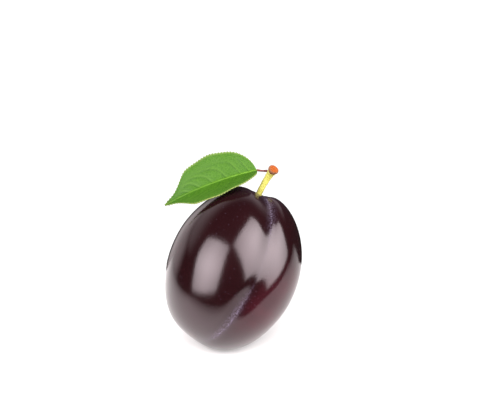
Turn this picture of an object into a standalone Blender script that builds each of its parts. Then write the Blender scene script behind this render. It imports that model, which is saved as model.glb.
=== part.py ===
"""A ripe dark plum at rest on a small flat spot, with its stalk, the stalk's cut end, a leaf stalk and one leaf.

Units are metres and +Z is up. The origin is the middle of the flat spot that the plum rests on.
The fruit and everything on it are made in a frame at the fruit's centre that is tipped back about X, so
that X is to the right, Z runs up the tipped plum and -Y comes out of its front.
"""

import math

import bmesh
import bpy
import numpy as np
from mathutils import Matrix, Vector

MM = 0.001

# How the plum lies: the fruit's centre over the flat spot, its tip backwards and its lean to the right
FRUIT_CENTRE = (2.61 * MM, 3.22 * MM, 27.07 * MM)
TIP_BACK = math.radians(30.0)
LEAN_RIGHT = math.radians(23.3)

# Fruit: an ellipsoid, fuller low on its back where it lies, in both cheeks beside its seam and in the crown left
# of its stalk, with a cavity round the stalk, a shallow dimple at the blossom end and a seam groove
FRUIT_HALF_LENGTH = 30.3 * MM
FRUIT_HALF_WIDTH = 23.1 * MM
CAVITY_ANGLE = math.radians(3.9)
CAVITY_DEPTH = 2.6 * MM
CAVITY_SPREAD = math.radians(9.6)
BLOSSOM_ANGLE = math.radians(7.2)
BLOSSOM_DEPTH = 1.7 * MM
BLOSSOM_SPREAD = math.radians(19.0)
BELLY_TURN = math.radians(56.0)
BELLY_ANGLE = math.radians(118.0)
BELLY_RISE = 1.5 * MM
BELLY_SPREAD = math.radians(32.0)
LEFT_CHEEK_TURN = math.radians(-132.3)
LEFT_CHEEK_ANGLE = math.radians(80.3)
LEFT_CHEEK_RISE = 1.0 * MM
LEFT_CHEEK_SPREAD = math.radians(36.4)
RIGHT_CHEEK_TURN = math.radians(-49.7)
RIGHT_CHEEK_ANGLE = math.radians(81.4)
RIGHT_CHEEK_RISE = 1.7 * MM
RIGHT_CHEEK_SPREAD = math.radians(45.0)
RIGHT_CHEEK_SHOULDER = 6.6 * MM
CROWN_TURN = math.radians(180.0)
CROWN_ANGLE = math.radians(20.0)
CROWN_RISE = 0.8 * MM
CROWN_SPREAD = math.radians(14.0)
SEAM_TURN = math.radians(30.0)
SEAM_DEPTH = 0.29 * MM
SEAM_DEPTH_AT_STALK = 1.4 * MM
SEAM_STALK_REACH = 0.56
SEAM_DEPTH_LOW = 0.8 * MM
SEAM_LOW_HEIGHT = -0.33
SEAM_LOW_REACH = 0.25
SEAM_LEFT_WIDTH = 3.6 * MM
SEAM_LEFT_WIDTH_HIGH = 5.0 * MM
SEAM_RIGHT_WIDTH = 3.2 * MM
SEAM_RIGHT_WIDTH_HIGH = 2.3 * MM
SEAM_WIDTH_HEIGHTS = (0.49, 0.77)
SEAM_SIDE_FADE = 0.35
FRUIT_RINGS = 40
FRUIT_SECTORS = 64
RING_CROWDING = 0.08
SECTOR_CROWDING = 0.55

# Stalk: a bent rod from its foot in the cavity to its flared top, given in the tipped frame
STALK_FOOT = (8.6 * MM, 0.9 * MM, 24.65 * MM)
STALK_FOOT_PULL = (1.3 * MM, -0.1 * MM, 3.6 * MM)
STALK_TOP = (14.2 * MM, -1.8 * MM, 34.6 * MM)
STALK_TOP_PULL = (-1.3 * MM, 2.1 * MM, -1.55 * MM)
STALK_RADIUS = 1.05 * MM
STALK_TOP_RADIUS = 1.55 * MM
STALK_EVEN_SHARE = 0.35
STALK_FLARE_START = 0.6
STALK_POINTS = 16
SEAT_CLEARANCE = 0.43 * MM
SEAT_CUTTER_LENGTH = 5.0 * MM
SEAT_SECTORS = 24

# Cut end of the stalk: a flared cap where it parted from the twig
CUT_END_RADIUS = 1.95 * MM
CUT_END_NECK = 1.5 * MM
CUT_END_THICKNESS = 1.3 * MM
CUT_END_DISH = 0.2 * MM
CUT_END_FACE_SHARES = (0.75, 0.4)
CUT_END_DISH_SHARES = (0.5, 1.0)
CUT_END_ROUND_POINTS = 5
CUT_END_SECTORS = 28
CUT_END_GAP = 0.42 * MM

# Leaf stalk: a thin rod from beside the stalk's top to the leaf's base, given in the tipped frame
LEAF_STALK_START = (11.9 * MM, -1.1 * MM, 35.0 * MM)
LEAF_STALK_END = (9.35 * MM, -1.25 * MM, 35.2 * MM)
LEAF_STALK_SAG = 0.15 * MM
LEAF_STALK_RADIUS = 0.44 * MM
LEAF_STALK_POINTS = 7

# Leaf: a blade folded along its midrib, widest at two fifths of its length, with a drawn-out tip
LEAF_BASE = (8.8 * MM, -1.3 * MM, 35.1 * MM)
LEAF_LENGTH = 35.0 * MM
LEAF_HALF_WIDTH = 10.2 * MM
LEAF_FAR_SHARE = 1.05
LEAF_END_HALF_WIDTH = 0.35 * MM
LEAF_WIDEST = 0.4
LEAF_BASE_POWER = 0.45
LEAF_TIP_POWER = 0.75
LEAF_TIP_NARROWING = 0.6
LEAF_TIP_NARROWS = (0.68, 0.93)
LEAF_THICKNESS = 0.6 * MM
LEAF_DROOP = math.radians(20.5)
LEAF_FACING = math.radians(38.0)
LEAF_TWIST = math.radians(-14.0)
LEAF_FOLD_AT_BASE = math.radians(27.0)
LEAF_FOLD_AT_TIP = math.radians(17.0)
LEAF_FOLD_RADIUS = 0.9 * MM
LEAF_ARCH = 1.9 * MM
LEAF_WAVE = 0.2 * MM
LEAF_WAVES = 3.5
LEAF_WAVE_SHIFT = 1.3
LEAF_TEETH = 40
TOOTH_DEPTH = 0.42 * MM
TOOTH_PEAK = 0.7
MIDRIB_RELIEF = 0.3 * MM
MIDRIB_HALF_WIDTH = 0.8 * MM
LEAF_COLUMNS = (0.0, 0.1, 0.3, 0.56, 0.82, 1.0)
MARGIN_SAMPLES = 2001
NORMAL_STEP = 0.002

ROD_BEVEL_STEPS = 4
SHARP_EDGE = math.radians(40.0)


def remove_scene_objects():
    for scene_object in list(bpy.data.objects):
        bpy.data.objects.remove(scene_object, do_unlink=True)


def principled(name, colour, roughness, coat=0.0):
    """A Principled BSDF material with a linear base colour."""
    material = bpy.data.materials.new(name)
    material.use_nodes = True
    shader = material.node_tree.nodes["Principled BSDF"]
    shader.inputs["Base Color"].default_value = (*colour, 1.0)
    shader.inputs["Roughness"].default_value = roughness
    shader.inputs["Metallic"].default_value = 0.0
    shader.inputs["Coat Weight"].default_value = coat
    material.diffuse_color = (*colour, 1.0)
    return material


def smoothstep(low, high, value):
    """0 below low, 1 above high and a smooth rise between them."""
    rise = np.clip((value - low) / (high - low), 0.0, 1.0)
    return rise * rise * (3.0 - 2.0 * rise)


def unit(vector):
    vector = np.asarray(vector, float)
    return vector / np.linalg.norm(vector)


def angle_between(directions, axis):
    return np.arccos(np.clip(directions @ axis, -1.0, 1.0))


def bezier(points, t):
    """The cubic curve of four control points at each t from 0 to 1."""
    p0, p1, p2, p3 = (np.asarray(p, float) for p in points)
    t = np.asarray(t, float)[:, None]
    s = 1.0 - t
    return s**3 * p0 + 3.0 * s * s * t * p1 + 3.0 * s * t * t * p2 + t**3 * p3


def closed_grid(rings, start, end):
    """A closed body from equal rings of points, with one point closing each end."""
    body = bmesh.new()
    loops = [[body.verts.new(point) for point in ring] for ring in rings]
    count = len(loops[0])
    first = body.verts.new(start)
    last = body.verts.new(end)
    for i in range(count):
        j = (i + 1) % count
        body.faces.new((first, loops[0][i], loops[0][j]))
        for lower, upper in zip(loops[:-1], loops[1:]):
            body.faces.new((lower[i], upper[i], upper[j], lower[j]))
        body.faces.new((last, loops[-1][j], loops[-1][i]))
    bmesh.ops.triangulate(body, faces=body.faces[:])
    bmesh.ops.recalc_face_normals(body, faces=body.faces[:])
    return body


def add_object(name, body, material, parent):
    """Puts a bmesh into a smooth shaded object under its parent."""
    mesh = bpy.data.meshes.new(name)
    body.to_mesh(mesh)
    body.free()
    mesh.shade_smooth()
    mesh.set_sharp_from_angle(angle=SHARP_EDGE)
    mesh.materials.append(material)
    piece = bpy.data.objects.new(name, mesh)
    bpy.context.collection.objects.link(piece)
    piece.parent = parent
    return piece


def add_rod(name, points, radii, material, parent):
    """A round rod along the points, as a poly curve with its own radius at each point."""
    curve = bpy.data.curves.new(name, "CURVE")
    curve.dimensions = "3D"
    curve.bevel_depth = 1.0
    curve.bevel_resolution = ROD_BEVEL_STEPS
    curve.use_fill_caps = True
    spline = curve.splines.new("POLY")
    spline.points.add(len(points) - 1)
    for spline_point, point, radius in zip(spline.points, points, radii):
        spline_point.co = (*point, 1.0)
        spline_point.radius = radius
    spline.use_smooth = True
    curve.materials.append(material)
    rod = bpy.data.objects.new(name, curve)
    bpy.context.collection.objects.link(rod)
    rod.parent = parent
    return rod


def tipped_frame():
    """The empty at the fruit's centre, tipped back about X, that carries every piece."""
    frame = bpy.data.objects.new("plum_frame", None)
    bpy.context.collection.objects.link(frame)
    frame.location = FRUIT_CENTRE
    frame.rotation_euler = (-TIP_BACK, 0.0, 0.0)
    return frame


def direction(turn, angle):
    """The unit direction at a turn about the long axis from +X and at an angle from its stalk end."""
    level = math.sin(angle)
    return np.array([level * math.cos(turn), level * math.sin(turn), math.cos(angle)])


# In the fruit's own frame Z is its long axis, +X its right and -Y its front
STALK_DIRECTION = np.array([-math.sin(CAVITY_ANGLE), 0.0, math.cos(CAVITY_ANGLE)])
BLOSSOM_DIRECTION = np.array([-math.sin(BLOSSOM_ANGLE), 0.0, -math.cos(BLOSSOM_ANGLE)])
SEAM_DIRECTION = np.array([math.sin(SEAM_TURN), -math.cos(SEAM_TURN), 0.0])


def rise_round(directions, centre, height, spread):
    """A Gaussian of the angle from a direction."""
    return height * np.exp(-((angle_between(directions, centre) / spread) ** 2))


def fruit_skin(directions):
    """Skin points of the fruit along unit directions from its centre.

    The distance is that of an ellipsoid, 1 / sqrt((x2 + y2) / width2 + z2 / length2), less a Gaussian dent
    round the stalk and one at the blossom end, plus Gaussian rises at the belly, the left cheek and the
    crown. The right cheek's rise starts at the seam, 1 - exp(-(off / shoulder)2). The seam groove is a
    Gaussian of the distance from the plane through both dents, with a width of its own on each side.
    """
    across = directions[:, 0] ** 2 + directions[:, 1] ** 2
    along = directions[:, 2] ** 2
    distance = 1.0 / np.sqrt(across / FRUIT_HALF_WIDTH**2 + along / FRUIT_HALF_LENGTH**2)
    distance = distance - rise_round(directions, STALK_DIRECTION, CAVITY_DEPTH, CAVITY_SPREAD)
    distance = distance - rise_round(directions, BLOSSOM_DIRECTION, BLOSSOM_DEPTH, BLOSSOM_SPREAD)
    belly = direction(BELLY_TURN, BELLY_ANGLE)
    distance = distance + rise_round(directions, belly, BELLY_RISE, BELLY_SPREAD)
    points = distance[:, None] * directions

    pole_line = unit(STALK_DIRECTION - BLOSSOM_DIRECTION)
    seam_normal = unit(np.cross(pole_line, SEAM_DIRECTION))
    off_seam = (points - FRUIT_HALF_LENGTH * STALK_DIRECTION) @ seam_normal
    height = points[:, 2] / FRUIT_HALF_LENGTH
    on_left = off_seam < 0.0
    high = smoothstep(*SEAM_WIDTH_HEIGHTS, height)
    left_width = SEAM_LEFT_WIDTH + (SEAM_LEFT_WIDTH_HIGH - SEAM_LEFT_WIDTH) * high
    right_width = SEAM_RIGHT_WIDTH + (SEAM_RIGHT_WIDTH_HIGH - SEAM_RIGHT_WIDTH) * high
    depth = SEAM_DEPTH + SEAM_DEPTH_AT_STALK * np.exp(-(((1.0 - height) / SEAM_STALK_REACH) ** 2))
    depth = depth + SEAM_DEPTH_LOW * np.exp(-(((height - SEAM_LOW_HEIGHT) / SEAM_LOW_REACH) ** 2))
    on_front = smoothstep(0.0, SEAM_SIDE_FADE, points @ SEAM_DIRECTION / FRUIT_HALF_WIDTH)
    groove = depth * on_front * np.exp(-((off_seam / np.where(on_left, left_width, right_width)) ** 2))

    left_cheek = direction(LEFT_CHEEK_TURN, LEFT_CHEEK_ANGLE)
    distance = distance + rise_round(directions, left_cheek, LEFT_CHEEK_RISE, LEFT_CHEEK_SPREAD)
    crown = direction(CROWN_TURN, CROWN_ANGLE)
    distance = distance + rise_round(directions, crown, CROWN_RISE, CROWN_SPREAD)
    right_cheek = direction(RIGHT_CHEEK_TURN, RIGHT_CHEEK_ANGLE)
    shoulder = np.where(on_left, 0.0, 1.0 - np.exp(-((off_seam / RIGHT_CHEEK_SHOULDER) ** 2)))
    distance = distance + shoulder * rise_round(directions, right_cheek, RIGHT_CHEEK_RISE, RIGHT_CHEEK_SPREAD)
    return (distance - groove)[:, None] * directions


def fruit_directions():
    """Rings of unit directions round the stalk, closer together near both ends and near the seam."""
    toward_seam = unit(SEAM_DIRECTION - (SEAM_DIRECTION @ STALK_DIRECTION) * STALK_DIRECTION)
    sideways = np.cross(STALK_DIRECTION, toward_seam)
    share = np.arange(1, FRUIT_RINGS) / FRUIT_RINGS
    polar = math.pi * (share - RING_CROWDING * np.sin(2.0 * math.pi * share))
    turn = 2.0 * math.pi * np.arange(FRUIT_SECTORS) / FRUIT_SECTORS
    turn = turn - SECTOR_CROWDING * np.sin(turn)
    ring = np.outer(np.cos(turn), toward_seam) + np.outer(np.sin(turn), sideways)
    return np.sin(polar)[:, None, None] * ring + np.cos(polar)[:, None, None] * STALK_DIRECTION


def cut_flat_spot(body, to_world):
    """Cuts the fruit off level at the height of the origin and closes the cut with one flat face."""
    to_local = to_world.inverted()
    plane_point = to_local @ Vector((0.0, 0.0, 0.0))
    plane_down = to_local.to_3x3() @ Vector((0.0, 0.0, -1.0))
    geometry = body.verts[:] + body.edges[:] + body.faces[:]
    cut = bmesh.ops.bisect_plane(
        body, geom=geometry, plane_co=plane_point, plane_no=plane_down, clear_outer=True
    )
    rim = [piece for piece in cut["geom_cut"] if isinstance(piece, bmesh.types.BMEdge)]
    bmesh.ops.edgeloop_fill(body, edges=rim)
    bmesh.ops.recalc_face_normals(body, faces=body.faces[:])


def make_fruit(frame):
    """The fruit, one solid of skin and flesh, with a plain seat in its cavity for the stalk's foot."""
    skin = principled("plum_skin", (0.045, 0.006, 0.012), 0.3, coat=0.5)
    rings = [fruit_skin(ring) for ring in fruit_directions()]
    top = fruit_skin(STALK_DIRECTION[None, :])[0]
    bottom = fruit_skin(-STALK_DIRECTION[None, :])[0]
    body = closed_grid(rings, top, bottom)
    lean = Matrix.Rotation(LEAN_RIGHT, 4, "Y")
    tip = Matrix.Rotation(-TIP_BACK, 4, "X")
    cut_flat_spot(body, Matrix.Translation(FRUIT_CENTRE) @ tip @ lean)
    fruit = add_object("fruit", body, skin, frame)
    fruit.rotation_euler = (0.0, LEAN_RIGHT, 0.0)

    seat = fruit.modifiers.new("stalk_seat", "BOOLEAN")
    seat.operation = "DIFFERENCE"
    seat.solver = "EXACT"
    seat.object = make_seat_cutter(frame)
    return fruit


def make_seat_cutter(frame):
    """The round plug that cuts the stalk's seat, along the foot of the stalk."""
    along = unit(STALK_FOOT_PULL)
    cutter_body = bmesh.new()
    bmesh.ops.create_cone(
        cutter_body,
        cap_ends=True,
        segments=SEAT_SECTORS,
        radius1=STALK_RADIUS + SEAT_CLEARANCE,
        radius2=STALK_RADIUS + SEAT_CLEARANCE,
        depth=SEAT_CUTTER_LENGTH,
    )
    mesh = bpy.data.meshes.new("stalk_seat_cutter")
    cutter_body.to_mesh(mesh)
    cutter_body.free()
    cutter = bpy.data.objects.new("stalk_seat_cutter", mesh)
    bpy.context.collection.objects.link(cutter)
    cutter.parent = frame
    cutter.location = np.array(STALK_FOOT) + along * (0.5 * SEAT_CUTTER_LENGTH - SEAT_CLEARANCE)
    cutter.rotation_mode = "QUATERNION"
    cutter.rotation_quaternion = Vector(along).to_track_quat("Z", "Y")
    cutter.display_type = "WIRE"
    cutter.hide_render = True
    return cutter


def stalk_curve():
    foot = np.array(STALK_FOOT)
    top = np.array(STALK_TOP)
    return foot, foot + STALK_FOOT_PULL, top + STALK_TOP_PULL, top


def make_stalk(frame):
    """The fruit's stalk: a rod that widens evenly and then flares under the cut end."""
    green_yellow = principled("stalk_yellow", (0.85, 0.76, 0.2), 0.5)
    share = np.linspace(0.0, 1.0, STALK_POINTS)
    flare = STALK_EVEN_SHARE * share + (1.0 - STALK_EVEN_SHARE) * smoothstep(STALK_FLARE_START, 1.0, share)
    radii = STALK_RADIUS + (STALK_TOP_RADIUS - STALK_RADIUS) * flare
    return add_rod("stalk", bezier(stalk_curve(), share), radii, green_yellow, frame)


def make_cut_end(frame):
    """The orange cap at the stalk's top: a turned profile with a round rim and a dished face."""
    cork = principled("cut_end_orange", (0.65, 0.18, 0.03), 0.6)
    out_of_stalk = unit(-np.array(STALK_TOP_PULL))
    rim = CUT_END_RADIUS - CUT_END_NECK
    sweep = np.linspace(0.0, math.pi * 0.5, CUT_END_ROUND_POINTS)
    flare_radius = CUT_END_NECK + rim * np.sin(sweep)
    flare_height = 0.5 * CUT_END_THICKNESS * (1.0 - np.cos(sweep))
    round_radius = CUT_END_RADIUS - 0.5 * rim * (1.0 - np.cos(sweep[1:]))
    round_height = 0.5 * CUT_END_THICKNESS * (1.0 + np.sin(sweep[1:]))
    face_radius = np.array(CUT_END_FACE_SHARES) * CUT_END_NECK
    face_height = CUT_END_THICKNESS - CUT_END_DISH * np.array(CUT_END_DISH_SHARES)
    radius = np.concatenate((flare_radius, round_radius, face_radius))
    height = np.concatenate((flare_height, round_height, face_height))
    turn = 2.0 * math.pi * np.arange(CUT_END_SECTORS) / CUT_END_SECTORS
    rings = [
        np.column_stack((r * np.cos(turn), r * np.sin(turn), np.full_like(turn, h)))
        for r, h in zip(radius, height)
    ]
    body = closed_grid(rings, (0.0, 0.0, 0.0), (0.0, 0.0, CUT_END_THICKNESS - CUT_END_DISH))
    cut_end = add_object("stalk_cut_end", body, cork, frame)
    cut_end.location = np.array(STALK_TOP) + CUT_END_GAP * out_of_stalk
    cut_end.rotation_mode = "QUATERNION"
    cut_end.rotation_quaternion = Vector(out_of_stalk).to_track_quat("Z", "Y")
    return cut_end


def make_leaf_stalk(frame):
    """The thin red rod that carries the leaf, sagging a little between its ends."""
    red = principled("leaf_stalk_red", (0.35, 0.08, 0.06), 0.5)
    share = np.linspace(0.0, 1.0, LEAF_STALK_POINTS)
    start = np.array(LEAF_STALK_START)
    points = start + share[:, None] * (np.array(LEAF_STALK_END) - start)
    points[:, 2] -= LEAF_STALK_SAG * 4.0 * share * (1.0 - share)
    radii = np.full(LEAF_STALK_POINTS, LEAF_STALK_RADIUS)
    return add_rod("leaf_stalk", points, radii, red, frame)


def leaf_half_width(u):
    """Half width at share u of the length: a power of u, a power of 1 - u, and a narrowed tip."""
    base = (u / LEAF_WIDEST) ** LEAF_BASE_POWER
    tip = ((1.0 - u) / (1.0 - LEAF_WIDEST)) ** LEAF_TIP_POWER
    narrowed = 1.0 - LEAF_TIP_NARROWING * smoothstep(*LEAF_TIP_NARROWS, u)
    return np.maximum(LEAF_HALF_WIDTH * base * tip * narrowed, LEAF_END_HALF_WIDTH)


def leaf_surface(u, b):
    """The blade's middle surface at share u along the midrib and distance b across it.

    The midrib is an arch, 4 u (1 - u) high. Across it the blade is a hyperbola, sqrt(b2 + r2) - r, between
    its two straight halves, turned by the twist and waved towards the margin.
    """
    fold = LEAF_FOLD_AT_BASE + (LEAF_FOLD_AT_TIP - LEAF_FOLD_AT_BASE) * u
    rise = np.sin(fold) * (np.sqrt(b * b + LEAF_FOLD_RADIUS**2) - LEAF_FOLD_RADIUS)
    outward = np.abs(b) / LEAF_HALF_WIDTH
    phase = 2.0 * math.pi * LEAF_WAVES * u + LEAF_WAVE_SHIFT * np.sign(b)
    rise = rise + LEAF_WAVE * outward**2 * np.sin(phase)
    sideways = np.cos(fold) * b
    twist = LEAF_TWIST * (u - 0.5)
    return np.stack(
        (
            LEAF_LENGTH * u,
            sideways * np.cos(twist) - rise * np.sin(twist),
            sideways * np.sin(twist) + rise * np.cos(twist) + LEAF_ARCH * 4.0 * u * (1.0 - u),
        ),
        axis=-1,
    )


def leaf_normal(u, b):
    aside = NORMAL_STEP * LEAF_HALF_WIDTH
    along = leaf_surface(u + NORMAL_STEP, b) - leaf_surface(u - NORMAL_STEP, b)
    across = leaf_surface(u, b + aside) - leaf_surface(u, b - aside)
    normal = np.cross(along, across)
    return normal / np.linalg.norm(normal, axis=-1, keepdims=True)


def leaf_rows():
    """Shares of the length at the midrib and at the margin of each row: two rows to a tooth.

    The margin's shares are even along its arc, so that the teeth are alike from base to tip.
    """
    fine = np.linspace(0.0, 1.0, MARGIN_SAMPLES)
    step_along = np.diff(fine) * LEAF_LENGTH
    step_out = np.diff(leaf_half_width(fine))
    arc = np.concatenate(([0.0], np.cumsum(np.hypot(step_along, step_out))))
    tooth = np.arange(LEAF_TEETH)
    share = np.sort(np.concatenate((tooth, tooth + TOOTH_PEAK, [LEAF_TEETH]))) / LEAF_TEETH
    at_margin = np.interp(share * arc[-1], arc, fine)
    is_peak = np.isin(np.arange(len(share)) % 2, 1)
    return share, at_margin, is_peak


def make_leaf(frame):
    """The serrated blade, a closed sheet whose two faces are split into triangles alike."""
    green = principled("leaf_green", (0.14, 0.36, 0.04), 0.45)
    at_midrib, at_margin, is_peak = leaf_rows()
    out = np.array(LEAF_COLUMNS)
    columns = np.concatenate((-out[:0:-1], out))
    reach = np.abs(columns)
    u = at_midrib[:, None] + reach * (at_margin - at_midrib)[:, None]
    side_share = np.where(columns < 0.0, LEAF_FAR_SHARE, 1.0)
    b = columns * side_share * leaf_half_width(at_margin)[:, None]
    b[:, 0] -= TOOTH_DEPTH * is_peak
    b[:, -1] += TOOTH_DEPTH * is_peak
    middle = leaf_surface(u, b)
    normal = leaf_normal(u, b)
    relief = MIDRIB_RELIEF * np.exp(-((b / MIDRIB_HALF_WIDTH) ** 2))[..., None]
    upper = middle + 0.5 * LEAF_THICKNESS * normal
    lower = middle - (0.5 * LEAF_THICKNESS + relief) * normal

    body = bmesh.new()
    top = [[body.verts.new(point) for point in row] for row in upper]
    under = [[body.verts.new(point) for point in row] for row in lower]
    rows = len(top)
    count = len(columns)
    for i in range(rows - 1):
        for j in range(count - 1):
            for sheet in (top, under):
                body.faces.new((sheet[i][j], sheet[i + 1][j], sheet[i + 1][j + 1]))
                body.faces.new((sheet[i][j], sheet[i + 1][j + 1], sheet[i][j + 1]))
    rim = [(i, 0) for i in range(rows)]
    rim += [(rows - 1, j) for j in range(1, count)]
    rim += [(i, count - 1) for i in range(rows - 2, -1, -1)]
    rim += [(0, j) for j in range(count - 2, 0, -1)]
    for (i, j), (k, m) in zip(rim, rim[1:] + rim[:1]):
        body.faces.new((top[i][j], top[k][m], under[k][m]))
        body.faces.new((top[i][j], under[k][m], under[i][j]))
    bmesh.ops.recalc_face_normals(body, faces=body.faces[:])

    leaf = add_object("leaf", body, green, frame)
    along = Vector((-math.cos(LEAF_DROOP), 0.0, -math.sin(LEAF_DROOP)))
    up = Vector((-math.sin(LEAF_DROOP), 0.0, math.cos(LEAF_DROOP)))
    front = Vector((0.0, -1.0, 0.0))
    facing = math.sin(LEAF_FACING) * up + math.cos(LEAF_FACING) * front
    across = facing.cross(along)
    leaf.location = LEAF_BASE
    leaf.rotation_euler = Matrix((along, across, facing)).transposed().to_euler()
    return leaf


def main():
    remove_scene_objects()
    frame = tipped_frame()
    make_fruit(frame)
    make_stalk(frame)
    make_cut_end(frame)
    make_leaf_stalk(frame)
    make_leaf(frame)


main()
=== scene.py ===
"""The look of a ripe dark plum with its stalk and leaf, on a plain white floor in soft studio light.

Units are metres and +Z is up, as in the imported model. The stalk and the leaf are worked out in a frame at
the fruit's centre that is tipped back about X: X is to the right, Z runs up the tipped plum and -Y comes out
of its front. The fruit is worked out in its own frame, which also leans to the right: Z is its long axis.
"""

import math

import bpy
import numpy as np
from mathutils import Matrix, Vector


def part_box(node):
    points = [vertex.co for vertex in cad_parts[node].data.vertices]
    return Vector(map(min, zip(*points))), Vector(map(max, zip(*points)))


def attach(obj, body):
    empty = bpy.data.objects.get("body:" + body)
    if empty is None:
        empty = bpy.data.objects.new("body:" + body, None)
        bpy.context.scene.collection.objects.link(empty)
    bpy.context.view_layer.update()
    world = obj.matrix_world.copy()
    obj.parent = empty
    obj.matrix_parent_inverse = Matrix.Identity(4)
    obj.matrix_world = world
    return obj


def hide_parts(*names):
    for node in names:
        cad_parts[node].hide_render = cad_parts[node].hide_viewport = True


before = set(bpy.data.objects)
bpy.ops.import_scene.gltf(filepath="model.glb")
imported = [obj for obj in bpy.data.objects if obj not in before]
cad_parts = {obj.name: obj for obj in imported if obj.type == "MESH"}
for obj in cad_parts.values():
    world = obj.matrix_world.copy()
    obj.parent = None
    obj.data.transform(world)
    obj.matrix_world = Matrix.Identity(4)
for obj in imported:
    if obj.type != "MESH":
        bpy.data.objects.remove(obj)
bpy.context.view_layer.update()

bl_info = {
    "name": "Plum with leaf",
    "version": (1, 0, 0),
    "blender": (4, 5, 0),
    "location": "3D View > Sidebar > Plum",
    "description": "Builds a ripe dark plum with its stalk and leaf, and a plain studio for it",
    "category": "Object",
}

MM = 0.001

# How the plum lies: the fruit's centre over its flat spot, its tip backwards and its lean to the right
FRUIT_CENTRE = np.array((2.61, 3.22, 27.07)) * MM
TIP_BACK = math.radians(30.0)
LEAN_RIGHT = math.radians(23.3)
FROM_TIPPED = np.array(Matrix.Rotation(-TIP_BACK, 3, "X"))
FROM_FRUIT = FROM_TIPPED @ np.array(Matrix.Rotation(LEAN_RIGHT, 3, "Y"))

# The leaf's own axes in the tipped frame: along its midrib, across it and out of its upper face
LEAF_BASE = np.array((8.8, -1.3, 35.1)) * MM
LEAF_DROOP = math.radians(20.5)
LEAF_FACING = math.radians(38.0)


def linear(code):
    """The linear colour of an sRGB hex code, as red, green and blue."""
    channels = np.array([int(code[i : i + 2], 16) for i in (1, 3, 5)]) / 255.0
    low = channels / 12.92
    high = ((channels + 0.055) / 1.055) ** 2.4
    return tuple(float(c) for c in np.where(channels <= 0.04045, low, high))


def colour_property(name, description, code):
    """A colour that the user can change, given as sRGB hex."""
    return bpy.props.FloatVectorProperty(
        name=name, description=description, subtype="COLOR", size=3, min=0.0, max=1.0, default=linear(code)
    )


def length_property(name, description, millimetres):
    """A length that the user can change, given in millimetres."""
    return bpy.props.FloatProperty(
        name=name,
        description=description,
        subtype="DISTANCE",
        unit="LENGTH",
        precision=5,
        default=millimetres * MM,
    )


class FruitSettings(bpy.types.PropertyGroup):
    """Sizes and colours of the fruit."""

    half_length: length_property("Half length", "Half of the fruit's long axis", 30.3)
    half_width: length_property("Half width", "Half of the fruit across", 23.1)
    cavity_depth: length_property("Cavity depth", "Depth of the hollow round the stalk", 2.6)
    seam_depth: length_property("Seam depth", "Depth of the seam groove at mid height", 0.29)
    seam_depth_top: length_property("Seam depth at the stalk", "Added depth of the groove by the stalk", 1.4)
    seam_depth_low: length_property("Seam depth low down", "Added depth of the groove low down", 0.8)
    left_cheek: length_property("Left cheek", "Rise of the cheek left of the seam", 1.0)
    right_cheek: length_property("Right cheek", "Rise of the cheek right of the seam", 1.7)
    crown: length_property("Crown", "Rise of the shoulder left of the stalk", 0.8)
    skin: colour_property("Skin", "Dark ripe skin", "#120506")
    blush: colour_property("Blush", "Redder skin where it shows through", "#441620")
    bloom: colour_property("Bloom", "Pale waxy bloom", "#8A7C98")
    scar: colour_property("Scar", "Dry brown scar where the blossom fell off", "#4A3226")


class StalkSettings(bpy.types.PropertyGroup):
    """Sizes and colours of the stalk."""

    radius: length_property("Radius", "Radius of the stalk at its foot", 1.05)
    top_radius: length_property("Top radius", "Radius of the stalk below the cut end", 1.55)
    stalk: colour_property("Stalk", "Yellow green of the stalk", "#ADA54D")
    foot: colour_property("Foot", "Green of the stalk's foot", "#8C8430")


class CutEndSettings(bpy.types.PropertyGroup):
    """Sizes and colours of the stalk's cut end."""

    radius: length_property("Radius", "Radius of the flared end", 1.95)
    thickness: length_property("Thickness", "Thickness of the flared end", 1.3)
    cork: colour_property("Cork", "Orange of the cut end", "#8A4209")
    rim: colour_property("Rim", "Browner rim of the cut end", "#6E4E38")


class LeafStalkSettings(bpy.types.PropertyGroup):
    """Sizes and colours of the leaf stalk."""

    radius: length_property("Radius", "Radius of the leaf stalk", 0.44)
    red: colour_property("Red", "Brick red of the leaf stalk", "#5C1A14")


class LeafSettings(bpy.types.PropertyGroup):
    """Sizes and colours of the leaf."""

    length: length_property("Length", "Length of the blade", 35.0)
    half_width: length_property("Half width", "Half of the blade's width", 10.2)
    thickness: length_property("Thickness", "Thickness of the blade", 0.34)
    tooth_depth: length_property("Tooth depth", "Depth of the teeth round the edge", 0.42)
    teeth: bpy.props.IntProperty(
        name="Teeth", description="Teeth on each side of the blade", default=40, min=4, max=60
    )
    green: colour_property("Green", "Green of the blade", "#264806")
    # Painted light: the lighter green painted on the far half, which faces the light, and on the bulges
    # between the veins
    painted_lit_green: colour_property("Light green", "Lighter green of the half that faces up", "#30520C")
    # The vein green is the midrib's and the net's own, and is also painted as light beside the side veins
    vein: colour_property("Vein", "Pale green of the midrib", "#668A2C")
    edge: colour_property("Edge", "Pale edge and tips of the teeth", "#747C44")
    tip: colour_property("Tip", "Yellower end of the blade", "#364A06")


class StageSettings(bpy.types.PropertyGroup):
    """Floor, light and camera."""

    floor: colour_property("Floor", "White of the floor under the plum", "#F6F2F2")
    # Painted shade: the grey painted where the light falls off the floor
    painted_shade_floor: colour_property("Far floor", "Grey of the floor in front and far out at the sides", "#5E5B5B")
    light: bpy.props.FloatProperty(
        name="Light", description="Brightness of the soft boxes' middles", default=11.0, min=0.0
    )
    camera_distance: bpy.props.FloatProperty(
        name="Camera distance",
        description="Distance of the camera from the fruit's centre",
        subtype="DISTANCE",
        unit="LENGTH",
        default=0.6,
    )


def smoothstep(low, high, value):
    """0 below low, 1 above high and a smooth cubic rise between them."""
    rise = np.clip((value - low) / (high - low), 0.0, 1.0)
    return rise * rise * (3.0 - 2.0 * rise)


def unit(vectors):
    vectors = np.asarray(vectors, float)
    return vectors / np.linalg.norm(vectors, axis=-1, keepdims=True)


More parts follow.
